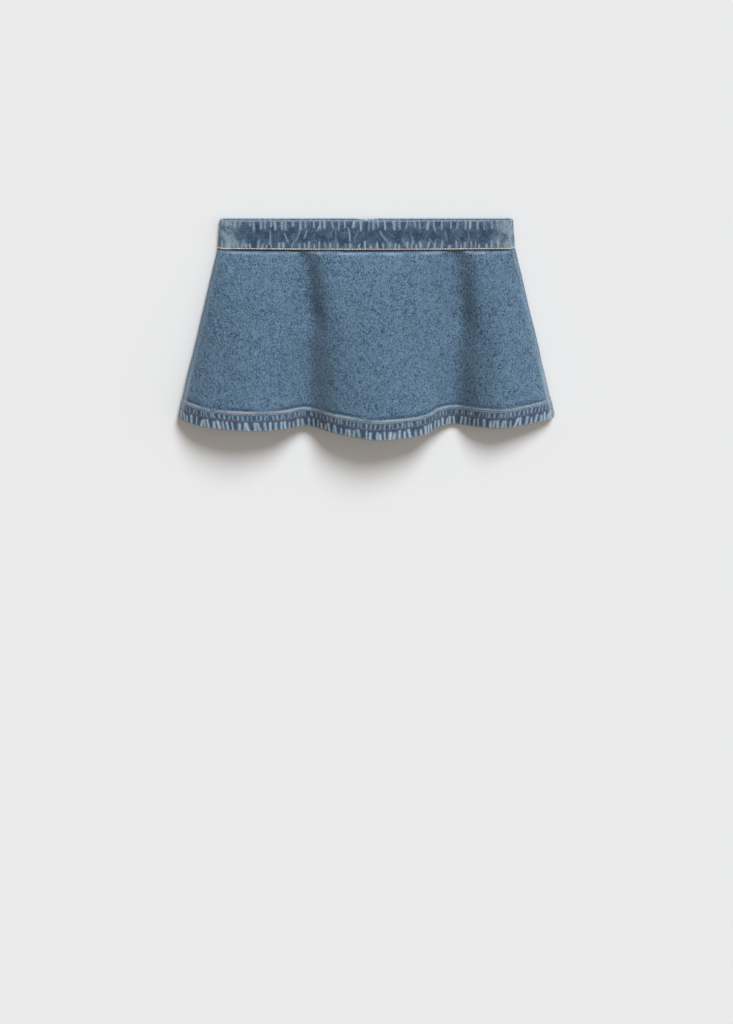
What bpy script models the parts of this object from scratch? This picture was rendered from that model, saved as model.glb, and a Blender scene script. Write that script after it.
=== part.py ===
"""A low-rise flared denim mini skirt, lying on its back with the front standing up in three soft folds.

Metres, +X to the wearer's left, +Y towards the waist, +Z up off the surface that it lies on. The origin is
on that surface, in the middle of the skirt's outline. Every cloth piece is the outer face of a closed ring of
cloth, cut out between two seams and given its wall inwards.
"""

import bmesh
import bpy
import math
import numpy as np
from mathutils import Vector

MM = 0.001

# Driving dimensions
SEAM_Y = 101.5 * MM            # the waist seam, measured from the origin
BAND_HEIGHT = 38.5 * MM
BAND_TOP_HALF = 181.6 * MM     # half the waistband's width laid flat, at its top edge
BAND_WALL = 2.2 * MM           # two layers of denim and their turnings
CLOTH_WALL = 1.2 * MM
HEM_WALL = 2.3 * MM            # the turned-up hem
HEM_DEPTH = 25 * MM
STACK = 10.4 * MM              # the folded waist's height off the surface, both layers and the bend
DOME = 3.6 * MM                # how much more the front stands up at the middle of the waist seam
HEM_SIDE_RADIUS = 6 * MM       # the bend at the sides of the hem
BACK_DROP = 239 * MM           # waist seam to hem at centre back
SEAM_GAP = 0.3 * MM
BEND_LEAN = 0.3 * MM           # what a cut edge on a bend leans in over its seam, on each side
WAIST_LEAN = 0.1 * MM          # what the edges at the waist seam lean in over it, together
FOLD_START = 0.92              # power of the folds' growth from the waist to the hem

# The side seam on the wearer's left lies on the front at the top and runs out over the bend further down.
LEFT_SEAM_AT_WAIST = 9.0 * MM  # along the cloth from the widest point, towards the front
LEFT_SEAM_AT_HEM = -3.0 * MM
LEFT_SEAM_TURNS = 0.75         # share of the way down over which it does so
RIGHT_SEAM_BEYOND = 11 * MM    # the other side seam is this far round, on the flat of the underside

# Centre-back zip
ZIP_TOP = 22 * MM              # above the waist seam
ZIP_LENGTH = 150 * MM
ZIP_HALF_WIDTH = 9 * MM
ZIP_TAPE = 0.5 * MM
ZIP_COIL_HALF = 1.6 * MM
ZIP_COIL = 1.3 * MM
ZIP_SLIT_HALF = 1.0 * MM       # half the slit in the waistband that the slider's bail comes through
SLIT_CLOSES = 40 * MM          # below the waist seam, where the two halves of the back meet
CHANNEL_RISE = 2.6 * MM        # the cloth is lifted this much along the zip, over the pull tab
CHANNEL_HALF = 5 * MM
CHANNEL_EDGE = 15 * MM
CHANNEL_END = -135 * MM        # where that rise has died away, from the waist seam

HINGE_Y = SEAM_Y + 27 * MM
HINGE_Z = 1.4 * MM
PULL_BAR_RADIUS = 0.35 * MM
PULL_LENGTH = 17 * MM
PULL_HALF_WIDTH = 2.6 * MM
PULL_THICKNESS = 0.8 * MM
WINDOW_HALF_WIDTH = 1.0 * MM
WINDOW_LENGTH = 2.6 * MM
BAIL_HALF_WIDTH = 0.6 * MM
BAIL_HALF_LENGTH = 1.9 * MM
BAIL_WALL = 0.5 * MM
SLIDER_HALF_WIDTH = 3.2 * MM
SLIDER_LENGTH = 8 * MM
SLIDER_FLOOR = 5.2 * MM
SLIDER_CEILING = 7.2 * MM

# One row for each ridge, hollow and turn across the front, from the wearer's right to the left, in mm:
# x at the waist seam, and x, height and drop below the waist seam at the hem.
FRONT_LINES = (
    # name,            waist_x, hem_x, hem_z, hem_drop
    ("right side",      -185.4, -243.0,  6.0, 227.0),
    ("right turn",      -180.6, -239.5, 16.0, 229.0),
    ("right shoulder",  -162.0, -210.0, 38.0, 230.0),
    ("right ridge",     -130.0, -158.0, 50.0, 230.5),
    ("right flank",      -94.0, -107.0, 41.0, 233.0),
    ("first hollow",     -67.0,  -78.0, 17.0, 238.0),
    ("middle flank",     -40.0,  -32.0, 41.0, 239.0),
    ("middle ridge",       7.0,   17.0, 55.0, 241.5),
    ("middle shoulder",   60.0,   73.0, 42.0, 240.0),
    ("middle fall",       92.0,   94.0, 19.0, 239.0),
    ("second hollow",    118.0,  112.0,  8.0, 239.5),
    ("left flank",       142.0,  147.0, 25.0, 236.5),
    ("left ridge",       160.0,  177.0, 37.0, 232.5),
    ("left shoulder",    173.0,  216.0, 26.0, 230.0),
    ("left turn",        180.6,  239.0, 13.0, 229.0),
    ("left side",        185.4,  243.0,  6.0, 227.0),
)
BODY_ROWS = 12                 # rows of faces from the waist seam to the hem's turning
HEM_STEP = 0.012               # share of the drop over which the wall doubles there
WAIST_CORNER = 0.4 * MM         # how far the stack has rounded off at the turn rows
POINTS_PER_SPAN = 12           # points on the ring between two of those rows
POINTS_PER_BEND = 20           # points on the quarter turn under each side
POINTS_ACROSS_BACK = 79        # points between those turns, an odd number so that one is at the middle


def smooth_path(points, steps):
    """Points on a Catmull-Rom curve that passes through all the given ones."""
    points = np.asarray(points)
    ends = np.vstack([2 * points[0] - points[1], points, 2 * points[-1] - points[-2]])
    t = np.linspace(0, 1, steps, endpoint=False)[:, None]
    spans = []
    for a, b, c, d in zip(ends[:-3], ends[1:-2], ends[2:-1], ends[3:]):
        spans.append(
            0.5 * (2 * b + (c - a) * t + (2 * a - 5 * b + 4 * c - d) * t**2 + (3 * b - a - 3 * c + d) * t**3)
        )
    return np.vstack(spans + [points[-1:]])


def ease(t):
    t = np.clip(t, 0, 1)
    return t * t * (3 - 2 * t)


def channel_rise(x, y):
    """How far the back is lifted off the surface by the zip and its pull."""
    across = ease((CHANNEL_EDGE - np.abs(x)) / (CHANNEL_EDGE - CHANNEL_HALF))
    along = ease((y - SEAM_Y - CHANNEL_END) / (HINGE_Y - PULL_LENGTH - 6 * MM - SEAM_Y - CHANNEL_END))
    return CHANNEL_RISE * across * along


def close_ring(front, radius, drop_centre):
    """The ring's outer face from the left side's widest point, over the front and back underneath."""
    right, left = front[0], front[-1]
    turn = np.linspace(0, math.pi / 2, POINTS_PER_BEND + 1)[1:]
    ring = [front[::-1]]
    ring.append(np.column_stack([
        right[0] + radius * (1 - np.cos(turn)), np.full(len(turn), right[1]), radius * (1 - np.sin(turn)),
    ]))
    x = np.linspace(right[0] + radius, left[0] - radius, POINTS_ACROSS_BACK + 2)[1:-1]
    share = (x / left[0]) ** 2
    ring.append(np.column_stack([x, drop_centre + (left[1] - drop_centre) * share, np.zeros(len(x))]))
    ring.append(np.column_stack([
        left[0] - radius * (1 - np.cos(turn)), np.full(len(turn), left[1]), radius * (1 - np.sin(turn)),
    ])[::-1])
    ring.append(left[None, :])
    ring = np.vstack(ring)
    ring[:, 2] = np.maximum(ring[:, 2], channel_rise(ring[:, 0], ring[:, 1]))
    return ring


def skirt_ring(down):
    """The outer face of the skirt at a share of the way down from the waist seam to the hem."""
    rows = np.array([row[1:] for row in FRONT_LINES]) * MM
    waist_x, hem_x, hem_z, hem_drop = rows.T
    waist_z = STACK + DOME * (1 - (waist_x / waist_x[-1]) ** 2)
    waist_z[[0, -1]] = STACK / 2
    waist_z[[1, -2]] -= WAIST_CORNER
    x = waist_x + (hem_x - waist_x) * down
    z = waist_z + (hem_z - waist_z) * down**FOLD_START
    y = SEAM_Y - hem_drop * down
    front = smooth_path(np.column_stack([x, y, z]), POINTS_PER_SPAN)
    radius = STACK / 2 + (HEM_SIDE_RADIUS - STACK / 2) * down**FOLD_START
    return close_ring(front, radius, SEAM_Y - BACK_DROP * down)


def band_ring(up):
    """The outer face of the waistband, at a share of the way up from the seam to the top edge."""
    waist_x = np.array([row[1] for row in FRONT_LINES]) * MM
    z = STACK + DOME * (1 - up) * (1 - (waist_x / waist_x[-1]) ** 2)
    z[[0, -1]] = STACK / 2
    z[[1, -2]] -= WAIST_CORNER
    gap = SEAM_GAP + WAIST_LEAN
    y = SEAM_Y + gap + (BAND_HEIGHT - gap) * up
    x = waist_x * (1 + (BAND_TOP_HALF / waist_x[-1] - 1) * up)
    front = smooth_path(np.column_stack([x, np.full(len(x), y), z]), POINTS_PER_SPAN)
    return close_ring(front, STACK / 2, y)


def stretch(ring, start, end, edge_steps, middle_steps):
    """Points along the ring between two distances from its start, closer together near both ends."""
    length = np.concatenate([[0], np.cumsum(np.linalg.norm(np.diff(ring, axis=0), axis=1))])
    near = np.cumsum(edge_steps) * MM
    places = np.concatenate([
        [start], start + near,
        np.linspace(start + near[-1], end - near[-1], middle_steps + 1)[1:-1],
        end - near[::-1], [end],
    ])
    return np.column_stack([np.interp(places, length, ring[:, axis]) for axis in range(3)])


def ring_marks(ring):
    """Distances along the ring from its start to the right side's widest point, centre back and its end."""
    length = np.concatenate([[0], np.cumsum(np.linalg.norm(np.diff(ring, axis=0), axis=1))])
    right = (len(FRONT_LINES) - 1) * POINTS_PER_SPAN
    middle = right + POINTS_PER_BEND + (POINTS_ACROSS_BACK + 1) // 2
    return length[right], length[middle], length[-1]


def material(name, colour, roughness, metallic=0.0):
    made = bpy.data.materials.new(name)
    made.use_nodes = True
    shader = made.node_tree.nodes["Principled BSDF"]
    shader.inputs["Base Color"].default_value = (*colour, 1)
    shader.inputs["Roughness"].default_value = roughness
    shader.inputs["Metallic"].default_value = metallic
    made.diffuse_color = (*colour, 1)
    return made


def add_object(name, mesh, finish):
    made = bpy.data.objects.new(name, mesh)
    mesh.materials.append(finish)
    skirt.objects.link(made)
    return made


def cloth(name, rows, walls, finish):
    """An open sheet through rows of points, with its wall inwards; walls has one thickness for each row."""
    columns = len(rows[0])
    bm = bmesh.new()
    grid = [[bm.verts.new(point) for point in row] for row in rows]
    for upper, lower in zip(grid, grid[1:]):
        for a, b, c, d in zip(upper, upper[1:], lower[1:], lower):
            bm.faces.new((a, b, c, d))
    mesh = bpy.data.meshes.new(name)
    bm.to_mesh(mesh)
    bm.free()
    made = add_object(name, mesh, finish)
    mesh.shade_smooth()
    thickness = made.vertex_groups.new(name="wall")
    thickest = max(walls)
    for row, wall in enumerate(walls):
        thickness.add(range(row * columns, (row + 1) * columns), wall / thickest, "REPLACE")
    wall = made.modifiers.new("wall", "SOLIDIFY")
    wall.thickness = thickest
    wall.offset = -1
    wall.use_even_offset = True
    wall.vertex_group = "wall"
    return made


def box(bm, low, high):
    made = bmesh.ops.create_cube(bm, size=1)
    middle = (Vector(low) + Vector(high)) / 2
    size = Vector(high) - Vector(low)
    for vert in made["verts"]:
        vert.co = Vector((a * b for a, b in zip(vert.co, size))) + middle


def joined(name, parts, finish, edge=0.0):
    """Overlapping shapes joined into one body, each a function that adds itself to a new mesh."""
    first = None
    for number, part in enumerate(parts):
        bm = bmesh.new()
        part(bm)
        mesh = bpy.data.meshes.new(name)
        bm.to_mesh(mesh)
        bm.free()
        if first is None:
            first = add_object(name, mesh, finish)
            continue
        other = bpy.data.objects.new(f"{name}_{number}", mesh)
        cutters.objects.link(other)
        other.hide_render = True
        other.display_type = "WIRE"
        union = first.modifiers.new(other.name, "BOOLEAN")
        union.operation = "UNION"
        union.object = other
    if edge:
        soft = first.modifiers.new("soft edges", "BEVEL")
        soft.width = edge
        soft.segments = 2
        soft.angle_limit = math.radians(50)
    return first


def make_panels():
    """The front, and the two halves of the back, from the waist seam to the hem."""
    hem_top = 1 - HEM_DEPTH / BACK_DROP
    shares = list(np.linspace(0, hem_top, BODY_ROWS)) + [hem_top + HEM_STEP, (hem_top + 1) / 2, 1]
    walls = [CLOTH_WALL] * BODY_ROWS + [HEM_WALL] * 3
    left_half_gap = SEAM_GAP / 2 + BEND_LEAN
    half_gap = SEAM_GAP / 2
    edge_steps = (0.7, 1.0, 1.3, 1.6, 2.0, 2.4, 3.0, 3.6)
    front, right, left = [], [], []
    for down in shares:
        ring = skirt_ring(down)
        right_side, middle, end = ring_marks(ring)
        turned = ease(down / LEFT_SEAM_TURNS)
        left_seam = LEFT_SEAM_AT_WAIST + (LEFT_SEAM_AT_HEM - LEFT_SEAM_AT_WAIST) * turned
        right_seam = right_side + RIGHT_SEAM_BEYOND
        centre_gap = SEAM_GAP / 2 + (ZIP_SLIT_HALF - SEAM_GAP / 2) * ease(1 - down * BACK_DROP / SLIT_CLOSES)
        twice = np.vstack([ring, ring[1:]])
        start = (left_seam + left_half_gap) % end
        past_start = end if start > right_seam else 0
        front.append(stretch(twice, start, past_start + right_seam - half_gap, edge_steps, 46))
        right.append(stretch(ring, right_seam + half_gap, middle - centre_gap, edge_steps, 10))
        left.append(stretch(twice, middle + centre_gap, end + left_seam - left_half_gap, edge_steps, 12))
    cloth("front", front, walls, washed_denim)
    cloth("back_right", right, walls, washed_denim)
    cloth("back_left", left, walls, washed_denim)


def make_waistband():
    """One strip, all the way round from one side of the centre-back zip to the other."""
    rows = []
    for up in (1, 0.66, 0.33, 0):
        ring = band_ring(up)
        _, middle, end = ring_marks(ring)
        twice = np.vstack([ring, ring[1:]])
        rows.append(stretch(
            twice, middle + ZIP_SLIT_HALF, middle + end - ZIP_SLIT_HALF, (2.0, 2.5, 3.0, 3.5), 104,
        ))
    cloth("waistband", rows, [BAND_WALL] * len(rows), band_denim)


def tape_height(x, y):
    """The underside of the zip's tape, just clear of the back's inner face."""
    wall = np.where(y > SEAM_Y - 3 * MM, BAND_WALL, CLOTH_WALL)
    return channel_rise(x, y) + wall + SEAM_GAP


def make_zip():
    """The tape and closed coil behind the centre-back seam, following the cloth."""
    across = (-1, -0.72, -0.45, -0.2, 0.2, 0.45, 0.72, 1)
    top, bottom = SEAM_Y + ZIP_TOP, SEAM_Y + ZIP_TOP - ZIP_LENGTH
    along = [top, SEAM_Y + 8 * MM, SEAM_Y - 2.9 * MM, SEAM_Y - 4.5 * MM]
    along += list(np.linspace(SEAM_Y - 16 * MM, bottom, 9))
    bm = bmesh.new()
    lower, upper = [], []
    for y in along:
        x = np.array(across) * ZIP_HALF_WIDTH
        z = tape_height(x, np.full(len(x), y))
        crest = np.where(np.abs(x) < ZIP_COIL_HALF + 0.3 * MM, ZIP_COIL, 0)
        lower.append([bm.verts.new(point) for point in np.column_stack([x, np.full(len(x), y), z])])
        thick = np.column_stack([x, np.full(len(x), y), z + ZIP_TAPE + crest])
        upper.append([bm.verts.new(point) for point in thick])
    outline = [low + high[::-1] for low, high in zip(lower, upper)]
    for one, two in zip(outline, outline[1:]):
        for a, b, c, d in zip(one, one[1:] + one[:1], two[1:] + two[:1], two):
            bm.faces.new((a, b, c, d))
    for low, high in ((lower[0], upper[0]), (lower[-1], upper[-1])):
        for a, b, c, d in zip(low, low[1:], high[1:], high):
            bm.faces.new((a, b, c, d))
    bmesh.ops.recalc_face_normals(bm, faces=bm.faces)
    mesh = bpy.data.meshes.new("zip")
    bm.to_mesh(mesh)
    bm.free()
    add_object("zip", mesh, tape_cloth)


def make_slider():
    """The slider behind the cloth at the top of the coil, and the bail that holds the pull."""
    lower_leg = HINGE_Y - BAIL_HALF_LENGTH
    upper_leg = HINGE_Y + BAIL_HALF_LENGTH
    floor = HINGE_Z - PULL_BAR_RADIUS - 0.25 * MM - BAIL_WALL
    inside = SLIDER_FLOOR + 0.5 * MM
    body_low = (-SLIDER_HALF_WIDTH, HINGE_Y - SLIDER_LENGTH / 2, SLIDER_FLOOR)
    body_high = (SLIDER_HALF_WIDTH, HINGE_Y + SLIDER_LENGTH / 2, SLIDER_CEILING)

    def leg(y):
        return lambda bm: box(
            bm, (-BAIL_HALF_WIDTH, y - BAIL_WALL / 2, floor), (BAIL_HALF_WIDTH, y + BAIL_WALL / 2, inside)
        )

    def bridge(bm):
        box(
            bm,
            (-BAIL_HALF_WIDTH, lower_leg - BAIL_WALL / 2, floor),
            (BAIL_HALF_WIDTH, upper_leg + BAIL_WALL / 2, floor + BAIL_WALL),
        )

    parts = (lambda bm: box(bm, body_low, body_high), leg(lower_leg), leg(upper_leg), bridge)
    joined("slider", parts, zip_metal)


def make_pull():
    """The pull tab: a plate with a window at its top end, whose bar turns in the slider's bail."""
    hinge = bpy.data.objects.new("pull_hinge", None)
    hinge.location = (0, HINGE_Y, HINGE_Z)
    skirt.objects.link(hinge)
    half = PULL_THICKNESS / 2
    plate_top = -WINDOW_LENGTH

    def side(sign):
        near, far = sorted((sign * WINDOW_HALF_WIDTH, sign * PULL_HALF_WIDTH * 0.8))
        return lambda bm: box(bm, (near, plate_top - 0.5 * MM, -half), (far, PULL_BAR_RADIUS, half))

    def plate(bm):
        box(bm, (-PULL_HALF_WIDTH, -PULL_LENGTH, -half), (PULL_HALF_WIDTH, plate_top, half))

    def bar(bm):
        edge = PULL_BAR_RADIUS
        box(bm, (-PULL_HALF_WIDTH * 0.8, -edge, -edge), (PULL_HALF_WIDTH * 0.8, edge, edge))

    tab = joined("pull_tab", (plate, side(-1), side(1), bar), zip_metal)
    tab.parent = hinge
    for modifier in tab.modifiers:
        modifier.object.parent = hinge


for old in list(bpy.data.objects):
    bpy.data.objects.remove(old)
skirt = bpy.data.collections.new("denim_skirt")
cutters = bpy.data.collections.new("joining_shapes")
bpy.context.scene.collection.children.link(skirt)
bpy.context.scene.collection.children.link(cutters)

washed_denim = material("washed_denim", (0.105, 0.19, 0.28), 0.9)
band_denim = material("band_denim", (0.075, 0.14, 0.22), 0.9)
tape_cloth = material("zip_tape", (0.04, 0.07, 0.12), 0.8)
zip_metal = material("zip_metal", (0.45, 0.44, 0.42), 0.35, 1.0)

make_panels()
make_waistband()
make_zip()
make_slider()
make_pull()
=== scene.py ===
"""Looks for the flared denim mini skirt: fine cloth shells over its solids, threads, wash and light.

Metres, +X to the wearer's left, +Y towards the waist, +Z up off the surface that the skirt lies on.
"""

import math

import bpy
import numpy as np
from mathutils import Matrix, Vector


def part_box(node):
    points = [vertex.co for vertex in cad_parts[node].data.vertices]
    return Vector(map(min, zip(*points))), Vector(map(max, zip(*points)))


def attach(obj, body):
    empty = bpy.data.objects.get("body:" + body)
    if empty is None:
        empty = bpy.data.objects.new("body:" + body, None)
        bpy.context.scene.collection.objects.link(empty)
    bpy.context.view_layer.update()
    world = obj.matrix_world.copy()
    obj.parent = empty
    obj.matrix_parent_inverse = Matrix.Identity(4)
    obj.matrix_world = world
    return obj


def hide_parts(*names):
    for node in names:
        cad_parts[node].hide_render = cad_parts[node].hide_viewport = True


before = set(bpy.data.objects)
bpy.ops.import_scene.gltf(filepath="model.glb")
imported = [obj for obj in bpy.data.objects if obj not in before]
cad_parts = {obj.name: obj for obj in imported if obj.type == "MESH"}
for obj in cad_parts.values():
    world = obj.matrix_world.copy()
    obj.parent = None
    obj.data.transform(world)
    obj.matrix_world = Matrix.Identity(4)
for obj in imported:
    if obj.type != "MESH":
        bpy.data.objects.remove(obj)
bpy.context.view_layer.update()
MM = 0.001

# ---------------------------------------------------------------------------------------------------------
# Sizes. Most are the solids' own. The front's fold lines and the folds' growth below the waist were tuned
# here, so the front's cloth lies a few millimetres off its solid in places.
# ---------------------------------------------------------------------------------------------------------

BAND_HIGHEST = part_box("waistband")[1]
SEAM_Y = 101.5 * MM                    # the waist seam
BAND_HEIGHT = BAND_HIGHEST[1] - SEAM_Y
BAND_TOP_HALF = 181.6 * MM             # half the waistband's width at its top edge
STACK = 10.4 * MM                      # front and back together, laid flat at the waist
DOME = 3.6 * MM                        # how much higher the front stands at the middle of the waist seam
HEM_SIDE_RADIUS = 6 * MM
BACK_DROP = 239 * MM                   # the back's length at its middle
FOLD_START = 0.6                       # power of the folds' growth from the waist to the hem
LEFT_SEAM_AT_WAIST = 9.0 * MM          # along the cloth from the left side's widest point, over the front
LEFT_SEAM_AT_HEM = -3.0 * MM
LEFT_SEAM_TURNS = 0.75                 # the share of the length by which the seam has reached its hem place
RIGHT_SEAM_BEYOND = 11 * MM            # along the cloth from the right side's widest point, underneath
SEAM_GAP = 0.3 * MM
LEFT_SEAM_HALF_GAP = 0.2 * MM
RIGHT_SEAM_HALF_GAP = 0.15 * MM
ZIP_SLIT_HALF = 1.0 * MM
SLIT_CLOSES = 40 * MM                  # how far below the waist seam the slit has narrowed to a seam
CHANNEL_RISE = 2.6 * MM                # the back's lift over the zip's pull
CHANNEL_HALF = 5 * MM
CHANNEL_EDGE = 15 * MM
CHANNEL_END = -135 * MM
CHANNEL_FULL = -4 * MM                 # above this, from the waist seam, the channel has its whole rise

# Lines down the front, in mm: where each starts along the waist seam and ends along the hem, its height at
# the hem, and how far below the seam it ends
FRONT_LINES = (
    # name,            waist_x, hem_x, hem_z, hem_drop
    ("right side",      -185.4, -243.0,  6.0, 227.0),
    ("right turn",      -180.6, -239.5, 16.0, 229.0),
    ("right shoulder",  -162.0, -210.0, 38.0, 230.0),
    ("right ridge",     -130.0, -158.0, 50.0, 230.5),
    ("right flank",      -96.0, -110.0, 39.0, 234.0),
    ("first hollow",     -74.0,  -76.0, 13.0, 240.0),
    ("middle flank",     -46.0,  -36.0, 43.0, 238.0),
    ("middle ridge",       2.0,   17.0, 55.0, 241.5),
    ("middle shoulder",   58.0,   72.0, 43.0, 239.5),
    ("middle fall",       86.0,   93.0, 21.0, 238.0),
    ("second hollow",    114.0,  115.0,  6.0, 240.5),
    ("left flank",       137.0,  146.0, 28.0, 235.0),
    ("left ridge",       160.0,  176.0, 38.0, 232.0),
    ("left shoulder",    173.0,  216.0, 26.0, 230.0),
    ("left turn",        180.6,  239.0, 13.0, 229.0),
    ("left side",        185.4,  243.0,  6.0, 227.0),
)
WAIST_CORNER = 0.4 * MM                # how far the lines next to the sides are let down at the waist

# Grids of points on the cloth
POINTS_PER_SPAN = 24
POINTS_PER_BEND = 24
POINTS_ACROSS_BACK = 239
FRONT_COLUMNS = 500
BACK_RIGHT_COLUMNS = 220
BACK_LEFT_COLUMNS = 240
BAND_COLUMNS = 760
TOP_SHARE = 0.06                       # of a panel's length, with finer rows
HEM_SHARE = 34 * MM / BACK_DROP        # the same at the hem

# The cloth and its making
DENIM = 1.1 * MM                       # one layer, as seen at an edge
BAND_CLOTH = 2.0 * MM
LOWEST_CLOTH = 0.05 * MM               # above the surface that the skirt lies on
HEM_ROWS = (13.4 * MM, 23.0 * MM)      # the two rows of stitching, above the hem's edge
HEM_RIDGE = 25.6 * MM                  # the top of the turned-up hem, where it shows through as a ridge
BAND_TOP_ROW = 1.6 * MM                # the waistband's upper row of stitching, below its top edge
BAND_LOW_ROW = 1.9 * MM                # its lower row, above the waist seam
ROW_ENDS = 2 * MM                      # how far the waistband's rows stop short of the slit

# Roping: the pale bars that wash puts across a stitched edge. reach is how far they come from the edge, and
# spread how unevenly they are spaced.
HEM_LOWER_ROPE = dict(pitch=6.6 * MM, width=3.2 * MM, slant=0.12, reach=HEM_ROWS[0])
HEM_UPPER_ROPE = dict(pitch=5.2 * MM, width=2.0 * MM, slant=0.15, reach=12 * MM)
BAND_TOP_ROPE = dict(pitch=8.0 * MM, width=2.3 * MM, slant=0.10, reach=11 * MM, spread=0.45)
BAND_LOW_ROPE = dict(pitch=7.4 * MM, width=2.5 * MM, slant=0.10, reach=10.5 * MM, spread=0.4)

# Soft creases pressed into the front, in mm: where each starts and ends, from the middle of the
# waist seam (across, down), its depth (a ridge is negative) and its half width.
FRONT_CREASES = (
    # from_x, from_down, to_x, to_down, depth, half_width
    (-80,   0,  -70, 110, 6.0, 12.0),
    (-52,   0,  -36, 100, -2.2, 14.0),
    (112,   0,  119, 120, 5.5, 12.0),
    (142,   0,  146, 110, -2.0, 10.0),
    (64,    0,   62, 110, -2.2, 13.0),
    (-174,  1, -164,  26, 0.8, 5.0),
    (-160,  0, -172,  34, 0.5, 5.0),
    (-118,  0, -128,  46, 0.45, 9.0),
    (-20,   0,  -16,  40, 0.4, 9.0),
    (44,    0,   52,  44, 0.4, 9.0),
    (164,   2,  176,  60, 0.6, 6.0),
    (-190, 120, -168, 205, 0.5, 14.0),
    (-110, 150, -100, 212, 0.5, 12.0),
    (60,  140,   66, 208, 0.5, 13.0),
    (196, 130,  206, 205, 0.5, 11.0),
)
BACK_CREASES = (
    # from_x, from_down, to_x, to_down, depth, half_width
    (-130,  0, -142,  60, 0.25, 9.0),
    (-60,   0,  -64,  80, 0.3, 10.0),
    (70,    0,   78,  90, 0.3, 10.0),
    (140,   0,  150,  50, 0.25, 9.0),
)


# ---------------------------------------------------------------------------------------------------------
# The rings of cloth
# ---------------------------------------------------------------------------------------------------------


def smooth_path(points, steps):
    """Points on a Catmull-Rom curve that passes through all the given ones."""
    points = np.asarray(points)
    ends = np.vstack([2 * points[0] - points[1], points, 2 * points[-1] - points[-2]])
    t = np.linspace(0, 1, steps, endpoint=False)[:, None]
    spans = []
    for a, b, c, d in zip(ends[:-3], ends[1:-2], ends[2:-1], ends[3:]):
        cubic = (3 * b - a - 3 * c + d) * t**3
        spans.append(0.5 * (2 * b + (c - a) * t + (2 * a - 5 * b + 4 * c - d) * t**2 + cubic))
    return np.vstack(spans + [points[-1:]])


def ease(t):
    t = np.clip(t, 0, 1)
    return t * t * (3 - 2 * t)


def bump(distance, half_width):
    """1 at no distance, falling smoothly to 0 at twice the half width."""
    return ease(1 - np.abs(distance) / (2 * half_width))


def channel_rise(x, y):
    across = ease((CHANNEL_EDGE - np.abs(x)) / (CHANNEL_EDGE - CHANNEL_HALF))
    along = ease((y - SEAM_Y - CHANNEL_END) / (CHANNEL_FULL - CHANNEL_END))
    return CHANNEL_RISE * across * along


def close_ring(front, radius, drop_centre):
    """The ring's outer face from the left side's widest point, over the front and back underneath."""
    right, left = front[0], front[-1]
    turn = np.linspace(0, math.pi / 2, POINTS_PER_BEND + 1)[1:]
    level = np.full(len(turn), 1.0)
    x = np.linspace(right[0] + radius, left[0] - radius, POINTS_ACROSS_BACK + 2)[1:-1]
    share = (x / left[0]) ** 2
    under_right = [right[0] + radius * (1 - np.cos(turn)), level * right[1], radius * (1 - np.sin(turn))]
    under_left = [left[0] - radius * (1 - np.cos(turn)), level * left[1], radius * (1 - np.sin(turn))]
    ring = np.vstack([
        front[::-1],
        np.column_stack(under_right),
        np.column_stack([x, drop_centre + (left[1] - drop_centre) * share, np.zeros(len(x))]),
        np.column_stack(under_left)[::-1],
        left[None, :],
    ])
    ring[:, 2] = np.maximum(ring[:, 2], channel_rise(ring[:, 0], ring[:, 1]))
    return ring


def skirt_ring(down):
    waist_x, hem_x, hem_z, hem_drop = (np.array([row[1:] for row in FRONT_LINES]) * MM).T
    waist_z = STACK + DOME * (1 - (waist_x / waist_x[-1]) ** 2)
    waist_z[[0, -1]] = STACK / 2
    waist_z[[1, -2]] -= WAIST_CORNER
    x = waist_x + (hem_x - waist_x) * down
    z = waist_z + (hem_z - waist_z) * down**FOLD_START
    front = smooth_path(np.column_stack([x, SEAM_Y - hem_drop * down, z]), POINTS_PER_SPAN)
    radius = STACK / 2 + (HEM_SIDE_RADIUS - STACK / 2) * down**FOLD_START
    return close_ring(front, radius, SEAM_Y - BACK_DROP * down)


def band_ring(up):
    waist_x = np.array([row[1] for row in FRONT_LINES]) * MM
    z = STACK + DOME * (1 - up) * (1 - (waist_x / waist_x[-1]) ** 2)
    z[[0, -1]] = STACK / 2
    z[[1, -2]] -= WAIST_CORNER
    y = SEAM_Y + SEAM_GAP + (BAND_HEIGHT - SEAM_GAP) * up
    x = waist_x * (1 + (BAND_TOP_HALF / waist_x[-1] - 1) * up)
    return close_ring(smooth_path(np.column_stack([x, np.full(len(x), y), z]), POINTS_PER_SPAN), STACK / 2, y)


def ring_length(ring):
    return np.concatenate([[0], np.cumsum(np.linalg.norm(np.diff(ring, axis=0), axis=1))])


def ring_marks(ring):
    """Distances along the ring to the right side's widest point, to centre back and to its end."""
    length = ring_length(ring)
    right = (len(FRONT_LINES) - 1) * POINTS_PER_SPAN
    return length[right], length[right + POINTS_PER_BEND + (POINTS_ACROSS_BACK + 1) // 2], length[-1]


def along_ring(ring, start, end, columns):
    """Evenly spaced points along the ring, counted twice round."""
    twice = np.vstack([ring, ring[1:]])
    length = ring_length(twice)
    places = np.linspace(start, end, columns)
    return np.column_stack([np.interp(places, length, twice[:, axis]) for axis in range(3)])


# ---------------------------------------------------------------------------------------------------------
# Cloth shells
# ---------------------------------------------------------------------------------------------------------


def in_scene(made):
    bpy.context.scene.collection.objects.link(made)
    return made


def unit(vectors):
    return vectors / np.linalg.norm(vectors, axis=1, keepdims=True)


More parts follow.
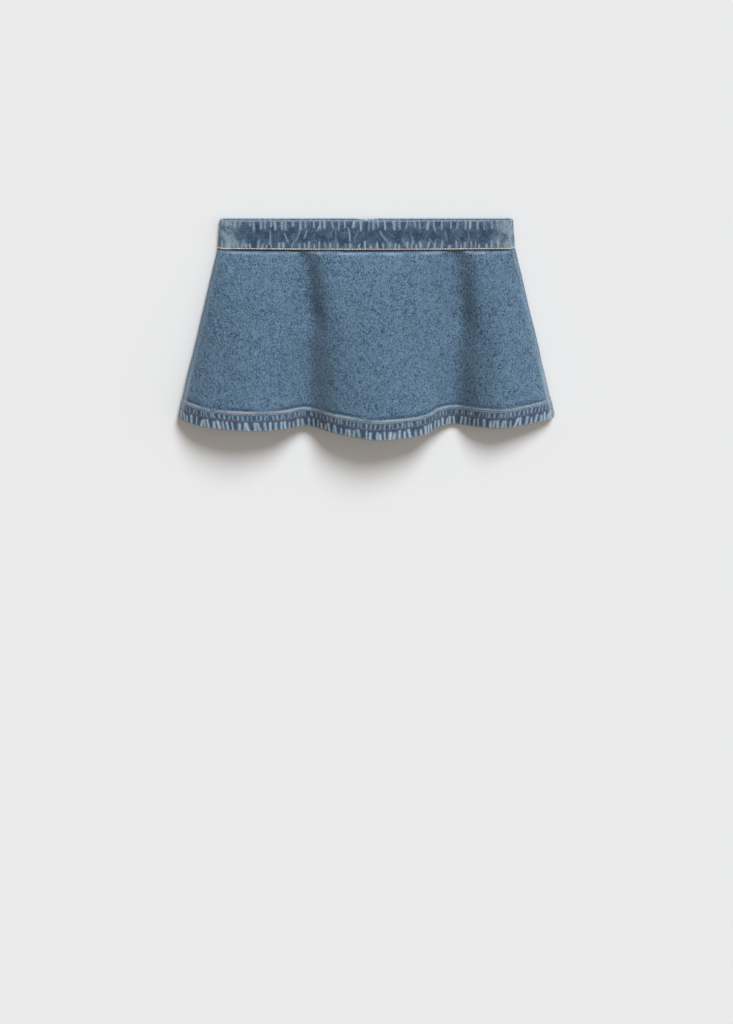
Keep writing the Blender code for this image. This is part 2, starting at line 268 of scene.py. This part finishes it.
class Sheet:
    """A grid of points on the cloth's face, with how far across and down each one lies."""

    def __init__(self, points, down):
        self.points = np.array(points)
        self.down = np.asarray(down)[:, None] + np.zeros(self.points.shape[1])
        steps = np.linalg.norm(np.diff(self.points, axis=1), axis=2)
        self.across = np.concatenate([np.zeros((len(self.points), 1)), np.cumsum(steps, axis=1)], axis=1)
        self.across -= self.across[:, -1:] / 2
        self.pale = np.zeros(self.down.shape)
        self.navy = np.zeros(self.down.shape)

    def normals(self):
        rows = np.gradient(self.points, axis=0)
        columns = np.gradient(self.points, axis=1)
        out = np.cross(columns, rows)
        return out / np.linalg.norm(out, axis=2, keepdims=True)

    def lift(self, height):
        """Move the cloth out of its own face by a height at each point."""
        self.points += self.normals() * height[:, :, None]

    def bleach(self, amount):
        """Wear the dye off by a share at each point, where it isn't worn more already."""
        self.pale = np.maximum(self.pale, amount)

    def darken(self, amount):
        """Darken the cloth towards navy by a share at each point: unfaded dye in most places, painted shade
        in some.
        """
        self.navy = np.maximum(self.navy, amount)

    def at(self, row, column):
        """Points between the grid's own, by fractional row and column."""
        rows, columns = self.down.shape
        i = np.clip(np.floor(row).astype(int), 0, rows - 2)
        j = np.clip(np.floor(column).astype(int), 0, columns - 2)
        a = (row - i)[:, None]
        b = (column - j)[:, None]
        p = self.points
        upper = p[i, j] * (1 - b) + p[i, j + 1] * b
        lower = p[i + 1, j] * (1 - b) + p[i + 1, j + 1] * b
        return upper * (1 - a) + lower * a

    def line(self, down, pitch, inset=0.0):
        """Centres, directions and normals of stitches along the sheet at one distance down."""
        row = np.interp(down, self.down[:, 0], np.arange(len(self.down)))
        columns = self.points.shape[1]
        dense = self.at(np.full(columns * 2, row), np.linspace(0, columns - 1, columns * 2))
        length = ring_length(dense)
        count = int((length[-1] - 2 * inset) / pitch)
        places = inset + (np.arange(count) + 0.5) * (length[-1] - 2 * inset) / count
        column = np.interp(places, length, np.linspace(0, columns - 1, columns * 2))
        step = 0.4
        here = np.full(count, row)
        along = self.at(here, column + step) - self.at(here, column - step)
        downward = self.at(here + step, column) - self.at(here - step, column)
        out = np.cross(along, downward)
        return self.at(here, column), unit(along), unit(out)

    def mesh(self, name, wall, finishes):
        """An object with this face, walled inwards. finishes are the outer one and the inner one."""
        rows, columns = self.down.shape
        index = np.arange(rows * columns).reshape(rows, columns)
        faces = np.stack([index[:-1, :-1], index[:-1, 1:], index[1:, 1:], index[1:, :-1]], axis=-1)
        mesh = bpy.data.meshes.new(name)
        mesh.from_pydata(self.points.reshape(-1, 3).tolist(), [], faces.reshape(-1, 4).tolist())
        place = mesh.attributes.new("cloth", "FLOAT_VECTOR", "POINT")
        flat = np.stack([self.across, self.down, np.zeros(self.down.shape)], axis=-1)
        place.data.foreach_set("vector", flat.astype(np.float32).ravel())
        for mask, values in (("pale", self.pale), ("navy", self.navy)):
            shares = mesh.attributes.new(mask, "FLOAT", "POINT")
            shares.data.foreach_set("value", np.clip(values, 0, 1).astype(np.float32).ravel())
        mesh.shade_smooth()
        for finish in finishes:
            mesh.materials.append(finish)
        made = in_scene(bpy.data.objects.new(name, mesh))
        shell = made.modifiers.new("thickness", "SOLIDIFY")
        shell.thickness = wall
        shell.offset = -1
        shell.use_even_offset = False
        shell.material_offset = len(finishes) - 1
        shell.material_offset_rim = 0
        return made


def rough(across, down, seed, size, octaves=3):
    """A smooth uneven field about -1 to 1, from waves of seeded directions; size is its broadest wave."""
    rng = np.random.default_rng(seed)
    total = np.zeros(np.broadcast(across, down).shape)
    weight = 0.0
    for octave in range(octaves):
        for _ in range(5):
            angle, phase = rng.uniform(0, 2 * math.pi, 2)
            wave = 2 * math.pi * 2**octave / size * rng.uniform(0.7, 1.4)
            total += 0.6**octave * np.sin(wave * (across * math.cos(angle) + down * math.sin(angle)) + phase)
        weight += 0.6**octave
    return total / (weight * 2.2)


def bars(across, height, seed, pitch, width, slant, reach, spread=0.35):
    """Short uneven bars across a roped edge: up to 1 on a bar, 0 between. height runs from 0 at the edge."""
    rng = np.random.default_rng(seed)
    span = np.abs(across).max() + 3 * pitch
    steps = pitch * rng.uniform(1 - spread, 1 + spread, int(2.6 * span / pitch) + 4)
    centres = -span + np.cumsum(steps)
    widths = width * rng.uniform(0.55, 1.35, len(centres))
    slants = slant * rng.normal(0, 1, len(centres))
    reaches = reach * rng.uniform(0.65, 1.25, len(centres))
    strengths = rng.uniform(0.55, 1.0, len(centres))
    best = np.zeros(across.shape)
    nearest = np.clip(np.searchsorted(centres, across), 1, len(centres) - 1)
    for shift in (-2, -1, 0, 1):
        k = np.clip(nearest + shift, 0, len(centres) - 1)
        off = across - centres[k] - slants[k] * height
        end = ease((reaches[k] - height) / (0.3 * reach) + 0.5)
        best = np.maximum(best, np.exp(-((off / (0.5 * widths[k])) ** 2) * 1.2) * end * strengths[k])
    return best


def press_creases(sheet, creases):
    """Soft troughs and ridges, each fading out at both ends."""
    x, down = sheet.points[:, :, 0] / MM, sheet.down / MM
    height = np.zeros(down.shape)
    for from_x, from_down, to_x, to_down, depth, half_width in creases:
        run = np.array([to_x - from_x, to_down - from_down], float)
        length = np.hypot(*run)
        run /= length
        along = (x - from_x) * run[0] + (down - from_down) * run[1]
        off = (x - from_x) * run[1] - (down - from_down) * run[0]
        fade = ease(along / (0.3 * length) + 0.5) * ease((length - along) / (0.4 * length) + 0.3)
        height -= depth * fade * np.exp(-((off / half_width) ** 2))
    sheet.lift(height * MM)


def finish_hem(sheet, seed):
    """The turned-up hem: a ridge at its top, two stitched-down rows, and roping below them."""
    depth = sheet.down[-1:, :] - sheet.down
    across = sheet.across
    lower = bars(across, depth, seed, **HEM_LOWER_ROPE)
    lower *= ease((HEM_ROWS[0] - 0.6 * MM - depth) / (1.2 * MM))
    upper = bars(across, depth - HEM_ROWS[0], seed + 1, **HEM_UPPER_ROPE)
    past_first = ease((depth - HEM_ROWS[0] - 1.2 * MM) / (1.4 * MM))
    before_second = ease((HEM_ROWS[1] - 1 * MM - depth) / (1.4 * MM))
    between = past_first * before_second
    upper *= between
    below_first = depth < HEM_ROWS[0]
    wander = 0.7 * MM * rough(across, depth * 0, seed + 2, 90 * MM)
    ridge = bump(depth - HEM_RIDGE - wander, 1.3 * MM)
    above = bump(depth - HEM_RIDGE - wander - 3.6 * MM, 2.0 * MM)
    rows = sum(bump(depth - row, 1.1 * MM) for row in HEM_ROWS)
    edge = ease(1 - depth / (2.2 * MM))
    patchy = np.clip(0.72 + 0.5 * rough(across, depth * 0, seed + 3, 60 * MM), 0.15, 1)
    inside = ease((HEM_RIDGE - depth) / (1.5 * MM))
    height = 0.35 * MM * inside + 0.35 * MM * ridge - 0.35 * MM * above * patchy - 0.30 * MM * rows
    height += 0.5 * MM * (lower - 0.4) * inside * below_first * ease(depth / (1 * MM))
    height += 0.25 * MM * (upper - 0.3) * between
    height -= 0.55 * MM * ease(1 - depth / (1.3 * MM))
    sheet.lift(height)
    for worn in (lower, 0.62 * upper, 0.8 * edge, 0.62 * ridge * patchy):
        sheet.bleach(worn)
    sheet.darken(0.85 * (1 - np.clip(1.6 * lower, 0, 1)) * below_first * (1 - edge))
    sheet.darken(0.8 * (1 - np.clip(1.6 * upper, 0, 1)) * between)
    # A patchy darker strip in the dip just above the ridge.
    sheet.darken(0.75 * above * patchy)
    sheet.darken(0.6 * rows)


def finish_top(sheet, seed):
    """Just under the waist seam the cloth dips, puckers and keeps a pale line where it bends. Painted shade
    darkens the seam's edge and patches among the puckers.
    """
    down, across = sheet.down, sheet.across
    ripple = rough(across, down * 0, seed, 16 * MM, 2)
    near = ease(1 - down / (16 * MM))
    sheet.lift(-0.9 * MM * ease(1 - down / (2.5 * MM)) + 0.28 * MM * ripple * near)
    patchy = np.clip(0.55 + 0.55 * rough(across, down * 0, seed + 1, 40 * MM), 0, 1)
    sheet.bleach(0.45 * bump(down - 3.0 * MM, 1.2 * MM) * patchy)
    # Painted shade: a dark line just under the seam, in the dip under the waistband's edge.
    sheet.darken(0.9 * ease(1 - down / (1.8 * MM)))
    # Painted shade: dark patches among the puckers, below the pale line.
    pucker_shade = ease((rough(across, down, seed + 2, 30 * MM) - 0.25) / 0.5)
    sheet.darken(0.4 * pucker_shade * ease(1 - down / (15 * MM)) * ease(down / (3 * MM)))


def side_wear(sheet):
    """A paler strip down the folded edges, where the cloth bends round the sides."""
    edge = np.abs(sheet.points[:, :, 0])
    widest = edge.max(axis=1, keepdims=True)
    top = sheet.points[:, :, 2] > STACK / 3
    strip = bump(widest - edge - 3 * MM, 2.4 * MM) * top
    strength = 0.16 + 0.3 * ease((sheet.down - 120 * MM) / (90 * MM))
    sheet.bleach(strip * strength)


def panel(name, start_end, columns, seed, creases, finishes):
    """One panel from the waist seam to the hem. start_end gives where it starts and ends on each ring."""
    shares = np.concatenate([
        np.linspace(0, TOP_SHARE, 12, endpoint=False),
        np.linspace(TOP_SHARE, 1 - HEM_SHARE, 46, endpoint=False),
        np.linspace(1 - HEM_SHARE, 1, 38),
    ])
    rows = []
    for down in shares:
        ring = skirt_ring(down)
        rows.append(along_ring(ring, *start_end(down, *ring_marks(ring)), columns))
    sheet = Sheet(rows, shares * BACK_DROP)
    press_creases(sheet, creases)
    unevenness = rough(sheet.across, sheet.down, seed + 5, 110 * MM)
    sheet.lift(0.45 * MM * unevenness * ease(sheet.down / (30 * MM)))
    finish_top(sheet, seed + 10)
    finish_hem(sheet, seed + 20)
    side_wear(sheet)
    sheet.points[:, :, 2] = np.maximum(sheet.points[:, :, 2], LOWEST_CLOTH)
    return sheet, sheet.mesh(name, DENIM, finishes)


def left_seam(down):
    return LEFT_SEAM_AT_WAIST + (LEFT_SEAM_AT_HEM - LEFT_SEAM_AT_WAIST) * ease(down / LEFT_SEAM_TURNS)


def front_span(down, right_side, middle, whole):
    start = (left_seam(down) + LEFT_SEAM_HALF_GAP) % whole
    past = whole if start > right_side + RIGHT_SEAM_BEYOND else 0
    return start, past + right_side + RIGHT_SEAM_BEYOND - RIGHT_SEAM_HALF_GAP


def centre_gap(down):
    return SEAM_GAP / 2 + (ZIP_SLIT_HALF - SEAM_GAP / 2) * ease(1 - down * BACK_DROP / SLIT_CLOSES)


def back_right_span(down, right_side, middle, whole):
    return right_side + RIGHT_SEAM_BEYOND + RIGHT_SEAM_HALF_GAP, middle - centre_gap(down)


def back_left_span(down, right_side, middle, whole):
    return middle + centre_gap(down), whole + left_seam(down) - LEFT_SEAM_HALF_GAP


def waistband(finishes):
    """One strip folded double: rolled edges, and roping along both."""
    shares = np.concatenate([
        np.linspace(0, 0.3, 15, endpoint=False),
        np.linspace(0.3, 0.7, 9, endpoint=False),
        np.linspace(0.7, 1, 16),
    ])
    rows = []
    for share in shares:
        ring = band_ring(1 - share)
        _, middle, whole = ring_marks(ring)
        rows.append(along_ring(ring, middle + ZIP_SLIT_HALF, middle + whole - ZIP_SLIT_HALF, BAND_COLUMNS))
    sheet = Sheet(rows, shares * BAND_HEIGHT)
    from_top, across = sheet.down, sheet.across
    from_seam = BAND_HEIGHT - sheet.down
    top = bars(across, from_top, 71, **BAND_TOP_ROPE)
    low = bars(across, from_seam, 83, **BAND_LOW_ROPE)
    low *= ease((from_seam - 2.2 * MM) / (1 * MM))
    cracks = band_cracks(across, from_top)
    rope = np.maximum(top, low)
    height = 0.35 * MM * (rope - 0.3) + 0.2 * MM * cracks
    height -= 0.7 * MM * ease(1 - from_top / (1.2 * MM)) + 0.5 * MM * ease(1 - from_seam / (0.9 * MM))
    low_groove = 0.3 * MM * bump(from_seam - BAND_LOW_ROW, 0.9 * MM)
    height -= low_groove + 0.2 * MM * bump(from_top - BAND_TOP_ROW, 0.8 * MM)
    height += 0.25 * MM * rough(across, from_top, 91, 45 * MM)
    sheet.lift(height)
    middle_tone = bump(from_top - BAND_HEIGHT / 2, BAND_HEIGHT / 3.2)
    on_top = sheet.points[:, :, 2] > STACK / 2
    worn_ends = ease((np.abs(sheet.points[:, :, 0]) - 148 * MM) / (28 * MM)) * on_top
    sheet.pale = np.maximum.reduce([
        0.85 * rope, 0.55 * cracks, 0.5 * ease(1 - from_top / (1.2 * MM)),
        0.42 * worn_ends * ease(rough(across, from_top, 97, 20 * MM, 2) + 0.6),
    ])
    dark = 0.5 + 0.35 * middle_tone + 0.3 * rough(across, from_top, 101, 26 * MM)
    sheet.navy = np.clip(dark * (1 - 0.7 * worn_ends), 0, 1) * (1 - np.clip(sheet.pale * 1.3, 0, 1))
    return sheet, sheet.mesh("waistband_cloth", BAND_CLOTH, finishes)


def band_cracks(across, from_top):
    """Thin pale wear lines that slant between the two roped edges."""
    rng = np.random.default_rng(7)
    total = np.zeros(across.shape)
    for centre in np.arange(-370, 371, 13.5):
        x = (centre + rng.uniform(-5, 5)) * MM
        lean = rng.normal(0, 0.45)
        bend = rng.uniform(-0.25, 0.25)
        low, high = np.sort(rng.uniform(0.12, 0.95, 2)) * BAND_HEIGHT
        depth = from_top - BAND_HEIGHT / 2
        off = across - x - lean * depth - bend * depth**2 / (10 * MM)
        fade = ease((from_top - low) / (3 * MM)) * ease((high - from_top) / (3 * MM))
        total = np.maximum(total, rng.uniform(0.35, 1) * fade * np.exp(-((off / (0.9 * MM)) ** 2)))
    return total


# ---------------------------------------------------------------------------------------------------------
# Threads
# ---------------------------------------------------------------------------------------------------------


THREAD_SINK = 0.1 * MM                 # how far a thread is pulled into the cloth
THREAD_RINGS = 6
THREAD_SIDES = 6


def stitches(name, lines, length, radius, finish):
    """One mesh of short threads, each a tapered bead lying along its seam and dipping in at both ends."""
    rings, sides = THREAD_RINGS, THREAD_SIDES
    t = np.linspace(-1, 1, rings)
    turn = np.linspace(0, 2 * math.pi, sides, endpoint=False)
    swell = np.sqrt(np.clip(1 - (0.93 * t) ** 4, 0, 1))
    verts, faces = [], []
    one = np.array([
        (i * sides + j, i * sides + (j + 1) % sides, (i + 1) * sides + (j + 1) % sides, (i + 1) * sides + j)
        for i in range(rings - 1) for j in range(sides)
    ])
    dip = radius * 0.6 - THREAD_SINK - radius * 1.2 * t**6
    count = 0
    for centres, along, out in lines:
        side = np.cross(out, along)
        for c, a, n, s in zip(centres, along, out, side):
            spine = c + a * (t * length / 2)[:, None] + n * dip[:, None]
            around = np.cos(turn)[None, :, None] * s + np.sin(turn)[None, :, None] * n
            verts.append((spine[:, None, :] + around * (swell * radius)[:, None, None]).reshape(-1, 3))
            faces.append(one + count)
            count += rings * sides
    mesh = bpy.data.meshes.new(name)
    mesh.from_pydata(np.vstack(verts).tolist(), [], np.vstack(faces).tolist())
    mesh.shade_smooth()
    mesh.materials.append(finish)
    return in_scene(bpy.data.objects.new(name, mesh))


# ---------------------------------------------------------------------------------------------------------
# Finishes
# ---------------------------------------------------------------------------------------------------------


class Nodes:
    """A short way to write a node tree. An input is named, or _ and its number where names repeat."""

    def __init__(self, tree):
        self.tree = tree

    def add(self, kind, settings=None, **inputs):
        node = self.tree.nodes.new(kind)
        for key, value in (settings or {}).items():
            setattr(node, key, value)
        for key, value in inputs.items():
            socket = node.inputs[int(key[1:]) if key[1:].isdigit() else key.replace("_", " ")]
            if isinstance(value, bpy.types.NodeSocket):
                self.tree.links.new(value, socket)
            else:
                socket.default_value = value
        return node

    def math(self, operation, a, b=0.0, clamp=False):
        return self.add("ShaderNodeMath", {"operation": operation, "use_clamp": clamp}, _0=a, _1=b).outputs[0]

    def mix(self, factor, a, b):
        return self.add("ShaderNodeMix", {"data_type": "RGBA"}, _0=factor, _6=a, _7=b).outputs[2]

    def scaled(self, vector, scale):
        return self.add("ShaderNodeVectorMath", {"operation": "MULTIPLY"}, _0=vector, _1=scale).outputs[0]

    def noise(self, vector, scale, detail=2.0, roughness=0.5, distortion=0.0):
        return self.add(
            "ShaderNodeTexNoise", None, Vector=vector, Scale=scale, Detail=detail, Roughness=roughness,
            Distortion=distortion,
        ).outputs["Fac"]

    def ramp(self, value, low, high):
        node = self.add("ShaderNodeMapRange", {"interpolation_type": "SMOOTHSTEP"}, Value=value)
        node.inputs["From Min"].default_value = low
        node.inputs["From Max"].default_value = high
        return node.outputs["Result"]


def group(name, ins, outs):
    """A new node group with its named inputs and outputs, and a writer for its inside."""
    tree = bpy.data.node_groups.new(name, "ShaderNodeTree")
    for label, kind in ins:
        tree.interface.new_socket(label, in_out="INPUT", socket_type=kind)
    for label, kind in outs:
        tree.interface.new_socket(label, in_out="OUTPUT", socket_type=kind)
    nodes = Nodes(tree)
    given = tree.nodes.new("NodeGroupInput").outputs
    result = tree.nodes.new("NodeGroupOutput").inputs
    return tree, nodes, given, result


def denim_grain():
    """Stone-washed grain: wormy high spots, warp slubs and fine twill, as one value and a height."""
    tree, n, given, result = group(
        "denim grain",
        [("Place", "NodeSocketVector"), ("Worms", "NodeSocketFloat"), ("Slubs", "NodeSocketFloat")],
        [("Tone", "NodeSocketFloat"), ("Height", "NodeSocketFloat")],
    )
    place = given["Place"]
    worm_place = n.scaled(place, (1.0, 0.8, 1.0))
    coarse = n.noise(worm_place, 300.0, 2.0, 0.55, 1.6)
    fine = n.noise(worm_place, 640.0, 2.0, 0.6, 1.0)
    off_middle = n.math("ABSOLUTE", n.math("SUBTRACT", coarse, 0.5))
    ridge = n.math("SUBTRACT", 1.0, n.math("MULTIPLY", off_middle, 7.0), True)
    worms = n.math("ADD", n.math("MULTIPLY", ridge, 0.55), n.math("MULTIPLY", n.ramp(fine, 0.3, 0.7), 0.45))
    slubs = n.noise(n.scaled(place, (1.0, 0.12, 1.0)), 900.0, 2.0, 0.6)
    weft = n.noise(n.scaled(place, (0.15, 1.0, 1.0)), 1100.0, 1.0, 0.5)
    turned = n.add("ShaderNodeVectorRotate", {"rotation_type": "Z_AXIS"}, Vector=place, Angle=0.9)
    twill = n.add(
        "ShaderNodeTexWave", {"wave_type": "BANDS", "bands_direction": "X"},
        Vector=turned.outputs[0], Scale=420.0, Distortion=0.6, Detail=1.0,
    ).outputs["Fac"]
    tone = n.math("ADD", n.math("MULTIPLY", worms, given["Worms"]), n.math("MULTIPLY", slubs, given["Slubs"]))
    tone = n.math("ADD", tone, n.math("MULTIPLY", weft, 0.12))
    tone = n.math("ADD", tone, n.math("MULTIPLY", twill, 0.10))
    n.tree.links.new(tone, result["Tone"])
    height = n.math("ADD", n.math("MULTIPLY", worms, 0.5), n.math("MULTIPLY", twill, 0.5))
    n.tree.links.new(height, result["Height"])
    return tree


def principled(name, colour, roughness, metallic=0.0):
    made = bpy.data.materials.new(name)
    made.use_nodes = True
    shader = made.node_tree.nodes["Principled BSDF"]
    shader.inputs["Base Color"].default_value = (*colour, 1)
    shader.inputs["Roughness"].default_value = roughness
    shader.inputs["Metallic"].default_value = metallic
    made.diffuse_color = (*colour, 1)
    return made, Nodes(made.node_tree), shader


def srgb(r, g, b):
    """A linear colour from one written as 0 to 255."""
    def curve(c):
        c /= 255
        return c / 12.92 if c <= 0.04045 else ((c + 0.055) / 1.055) ** 2.4
    return (curve(r), curve(g), curve(b), 1.0)


def denim(name, grain, deep, mid, light, pale, navy, worms=0.8, slubs=0.35):
    """Denim of three indigo tones, with worn pale places and navy ones from the cloth's own masks: unfaded
    dye in most places, painted shade in some.
    """
    made, n, shader = principled(name, mid[:3], 0.88)
    place = n.add("ShaderNodeAttribute", {"attribute_name": "cloth"}).outputs["Vector"]
    pale_mask = n.add("ShaderNodeAttribute", {"attribute_name": "pale"}).outputs["Fac"]
    navy_mask = n.add("ShaderNodeAttribute", {"attribute_name": "navy"}).outputs["Fac"]
    cloth = n.add("ShaderNodeGroup", {"node_tree": grain}, Place=place, Worms=worms, Slubs=slubs)
    tone = cloth.outputs["Tone"]
    low = n.ramp(tone, 0.42, 0.62)
    high = n.ramp(tone, 0.60, 0.88)
    colour = n.mix(low, deep, mid)
    colour = n.mix(high, colour, light)
    cloud = n.ramp(n.noise(place, 22.0, 3.0, 0.55), 0.3, 0.7)
    colour = n.mix(n.math("MULTIPLY", cloud, 0.16), colour, light)
    broken = n.ramp(n.noise(place, 520.0, 2.0, 0.6), 0.25, 0.65)
    navy_share = n.math("MULTIPLY", navy_mask, n.math("ADD", 0.62, n.math("MULTIPLY", broken, 0.38)), True)
    colour = n.mix(navy_share, colour, navy)
    pale_share = n.math("MULTIPLY", pale_mask, n.math("ADD", 0.55, n.math("MULTIPLY", broken, 0.6)), True)
    colour = n.mix(pale_share, colour, pale)
    n.tree.links.new(colour, shader.inputs["Base Color"])
    relief = n.add("ShaderNodeBump", None, Strength=0.5, Distance=0.4 * MM, Height=cloth.outputs["Height"])
    n.tree.links.new(relief.outputs["Normal"], shader.inputs["Normal"])
    shader.inputs["Sheen Weight"].default_value = 0.12
    shader.inputs["Sheen Roughness"].default_value = 0.5
    shader.inputs["Specular IOR Level"].default_value = 0.25
    return made


def thread(name, colour, darker):
    made, n, shader = principled(name, colour[:3], 0.7)
    place = n.add("ShaderNodeTexCoord").outputs["Object"]
    uneven = n.ramp(n.noise(place, 160.0, 3.0, 0.6), 0.35, 0.68)
    n.tree.links.new(n.mix(uneven, darker, colour), shader.inputs["Base Color"])
    return made


def metal(name, colour):
    made, n, shader = principled(name, colour[:3], 0.34, 1.0)
    place = n.add("ShaderNodeTexCoord").outputs["Object"]
    wear = n.ramp(n.noise(place, 900.0, 3.0, 0.6), 0.35, 0.7)
    n.tree.links.new(n.mix(wear, colour, srgb(120, 116, 110)), shader.inputs["Base Color"])
    roughness = n.math("ADD", 0.28, n.math("MULTIPLY", wear, 0.18))
    n.tree.links.new(roughness, shader.inputs["Roughness"])
    return made


def tape(name, colour, lighter):
    made, n, shader = principled(name, colour[:3], 0.75)
    place = n.add("ShaderNodeTexCoord").outputs["Object"]
    ribs = n.noise(n.scaled(place, (1.0, 0.2, 1.0)), 2400.0, 2.0, 0.5)
    n.tree.links.new(n.mix(n.ramp(ribs, 0.3, 0.7), colour, lighter), shader.inputs["Base Color"])
    return made


# ---------------------------------------------------------------------------------------------------------
# Making the skirt
# ---------------------------------------------------------------------------------------------------------

grain = denim_grain()
PALE = srgb(168, 182, 190)
NAVY = srgb(34, 54, 80)
washed_denim = denim(
    "washed_denim", grain, srgb(32, 55, 79), srgb(58, 84, 107), srgb(104, 131, 153), PALE, NAVY,
)
band_denim = denim(
    "band_denim", grain, srgb(38, 62, 88), srgb(68, 93, 117), srgb(116, 140, 160), PALE, NAVY,
)
denim_inside = denim(
    "denim_inside", grain, srgb(118, 134, 150), srgb(150, 163, 175), srgb(184, 192, 199),
    PALE, srgb(96, 116, 138), worms=0.3, slubs=0.4,
)
tan_thread = thread("tan_thread", srgb(196, 168, 140), srgb(150, 118, 96))
rust_thread = thread("rust_thread", srgb(142, 98, 84), srgb(96, 66, 62))
cream_thread = thread("cream_thread", srgb(226, 208, 186), srgb(196, 166, 140))
grey_thread = thread("grey_brown_thread", srgb(138, 128, 122), srgb(98, 92, 92))
zip_metal = metal("zip_metal", srgb(168, 166, 160))
zip_tape = tape("zip_tape", srgb(38, 52, 78), srgb(58, 74, 104))

both_faces = [washed_denim, denim_inside]
front, front_cloth = panel("front_cloth", front_span, FRONT_COLUMNS, 11, FRONT_CREASES, both_faces)
back_right, back_right_cloth = panel(
    "back_right_cloth", back_right_span, BACK_RIGHT_COLUMNS, 31, BACK_CREASES, both_faces,
)
back_left, back_left_cloth = panel(
    "back_left_cloth", back_left_span, BACK_LEFT_COLUMNS, 51, BACK_CREASES, both_faces,
)
band, band_cloth = waistband([band_denim, band_denim])


def hem_row(above_edge):
    """One row of stitching round the hem, as a line on each panel."""
    return [sheet.line(BACK_DROP - above_edge, 3.3 * MM) for sheet in (front, back_right, back_left)]


band_low_row = [band.line(BAND_HEIGHT - BAND_LOW_ROW, 3.2 * MM, ROW_ENDS)]
band_top_row = [band.line(BAND_TOP_ROW, 3.0 * MM, ROW_ENDS)]
THREADS = (
    # name, lines, stitch length and radius in mm, finish
    ("hem_lower_thread", hem_row(HEM_ROWS[0]), 2.9, 0.34, rust_thread),
    ("hem_upper_thread", hem_row(HEM_ROWS[1]), 2.9, 0.38, tan_thread),
    ("band_lower_thread", band_low_row, 3.1, 0.60, cream_thread),
    ("band_upper_thread", band_top_row, 2.6, 0.34, grey_thread),
)

# Each piece of cloth with the solid that it stands for, its finish, and the flat size that it is cut to, as
# far as it shows
CUT = (
    # piece, node, slot, width, length, area
    (front_cloth, "front", "washed_denim", 0.580, 0.242, 0.116),
    (back_right_cloth, "back_right", "washed_denim", 0.236, 0.239, 0.049),
    (back_left_cloth, "back_left", "washed_denim", 0.246, 0.239, 0.050),
    (band_cloth, "waistband", "band_denim", 0.758, 0.0385, 0.0291),
)
for piece, node, slot, width, length, area in CUT:
    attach(piece, "skirt")
    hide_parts(node)

for name, lines, length, radius, finish in THREADS:
    made = stitches(name, lines, length * MM, radius * MM, finish)
    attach(made, "skirt")

for node, finish in (("zip", zip_tape), ("slider", zip_metal), ("pull_tab", zip_metal)):
    solid = bpy.data.objects[node]
    solid.data.materials.clear()
    solid.data.materials.append(finish)

# ---------------------------------------------------------------------------------------------------------
# Floor, light and camera
# ---------------------------------------------------------------------------------------------------------

FLOOR_SIZE = 14
FLOOR_Z = -0.4 * MM

bpy.ops.mesh.primitive_plane_add(size=FLOOR_SIZE, location=(0, 0, FLOOR_Z))
floor = bpy.context.object
floor.name = "studio_floor"
floor_paint, _, floor_shader = principled("floor_paint", (0.80, 0.80, 0.80), 0.95)
floor_shader.inputs["Specular IOR Level"].default_value = 0.0
floor.data.materials.append(floor_paint)


LIGHT_TINT = (0.95, 1.0, 1.05)
AIR_TINT = (1.12, 1.0, 0.88, 1)


def sun(name, towards, strength, softness):
    """A soft light from a direction, as from a large distant panel. softness is its width in degrees."""
    data = bpy.data.lights.new(name, "SUN")
    data.energy = strength
    data.angle = math.radians(softness)
    data.color = LIGHT_TINT
    made = in_scene(bpy.data.objects.new(name, data))
    made.rotation_mode = "QUATERNION"
    made.rotation_quaternion = Vector(towards).to_track_quat("Z", "Y")


sun("key_light", (0.24, 0.80, 0.55), 3.85, 22)
sun("side_light", (0.85, 0.15, 0.50), 0.5, 50)

world = bpy.data.worlds.new("studio_air")
world.use_nodes = True
air = world.node_tree.nodes["Background"]
air.inputs["Color"].default_value = AIR_TINT
air.inputs["Strength"].default_value = 0.28
bpy.context.scene.world = world
bpy.context.scene.view_settings.view_transform = "Standard"

TILT = math.radians(27)                # the camera leans this far off the plumb line, towards the waist
REACH = 3.0                            # from the camera to the surface, along its view
AIM_Y = SEAM_Y - 0.371                 # where its view meets the surface
LENS = 79.78                           # millimetres, on a sensor of the next width
SENSOR = 36

camera_data = bpy.data.cameras.new("camera")
camera_data.lens = LENS
camera_data.sensor_width = SENSOR
camera = in_scene(bpy.data.objects.new("camera", camera_data))
camera.location = (0, AIM_Y + REACH * math.sin(TILT), REACH * math.cos(TILT))
camera.rotation_euler = (-TILT, 0, 0)
bpy.context.scene.camera = camera
